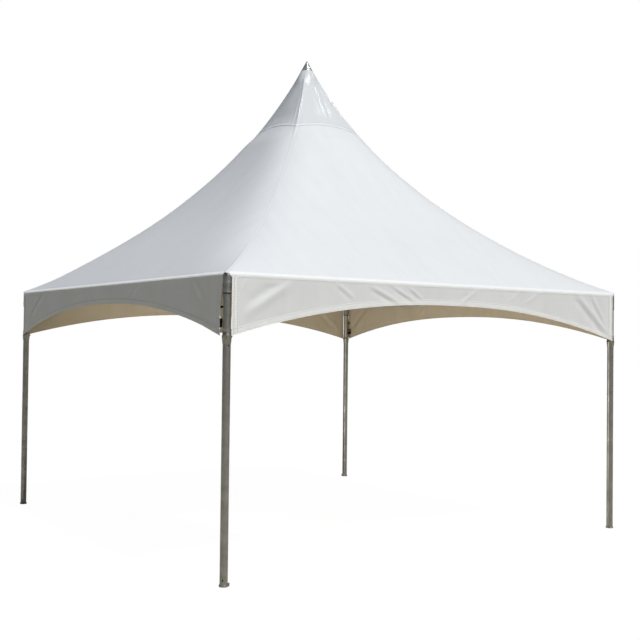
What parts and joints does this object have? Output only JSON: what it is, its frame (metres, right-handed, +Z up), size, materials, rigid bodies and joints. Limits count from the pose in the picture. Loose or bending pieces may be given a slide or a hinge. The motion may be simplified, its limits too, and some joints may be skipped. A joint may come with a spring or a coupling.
{
  "type": "high-peak frame marquee tent",
  "caption": "Square event marquee: a tube frame and a cable-borne mast hold up a white vinyl roof with a tall concave peak and arched valances.",
  "frame": {"origin": "centre of the square plan, on the ground under the feet", "axes": "+Z up to the peak; +X to the right and +Y to the back, parallel to the eaves, with the front facing -Y"},
  "size_m": [4.6506, 4.6506, 4.9642],
  "materials": {
    "tube_aluminium": "satin extruded tube",
    "cast_fitting": "cast, matt",
    "white_vinyl": "smooth semi-gloss coated polyester, a little translucent",
    "wire_rope": "galvanised wire rope",
    "finial_metal": "spun, semi-polished",
    "zinc_hardware": "zinc plated",
    "webbing": "woven polyester strap",
    "black_hardware": "black coated steel"
  },
  "bodies": {
    "root": {"leg_front_left": "tube_aluminium", "leg_front_right": "tube_aluminium", "leg_back_right": "tube_aluminium", "leg_back_left": "tube_aluminium", "foot_front_left": "cast_fitting", "foot_front_right": "cast_fitting", "foot_back_right": "cast_fitting", "foot_back_left": "cast_fitting", "corner_fitting_front_left": "cast_fitting", "corner_fitting_front_right": "cast_fitting", "corner_fitting_back_right": "cast_fitting", "corner_fitting_back_left": "cast_fitting", "eave_tube_front": "tube_aluminium", "eave_tube_right": "tube_aluminium", "eave_tube_back": "tube_aluminium", "eave_tube_left": "tube_aluminium", "roof_panel_front": "white_vinyl", "roof_panel_right": "white_vinyl", "roof_panel_back": "white_vinyl", "roof_panel_left": "white_vinyl", "peak_patch": "white_vinyl", "valance_front": "white_vinyl", "valance_right": "white_vinyl", "valance_back": "white_vinyl", "valance_left": "white_vinyl", "mast": "tube_aluminium", "mast_foot": "cast_fitting", "mast_cap": "cast_fitting", "cable_front_left_to_back_right": "wire_rope", "cable_front_right_to_back_left": "wire_rope", "finial": "finial_metal", "strap_bracket_front_left": "zinc_hardware", "strap_bracket_front_right": "zinc_hardware", "strap_bracket_back_right": "zinc_hardware", "strap_bracket_back_left": "zinc_hardware", "strap_front_left": "webbing", "strap_front_right": "webbing", "strap_back_right": "webbing", "strap_back_left": "webbing", "ratchet_front_left": "black_hardware", "ratchet_front_right": "black_hardware", "ratchet_back_right": "black_hardware", "ratchet_back_left": "black_hardware"}
  },
  "joints": []
}
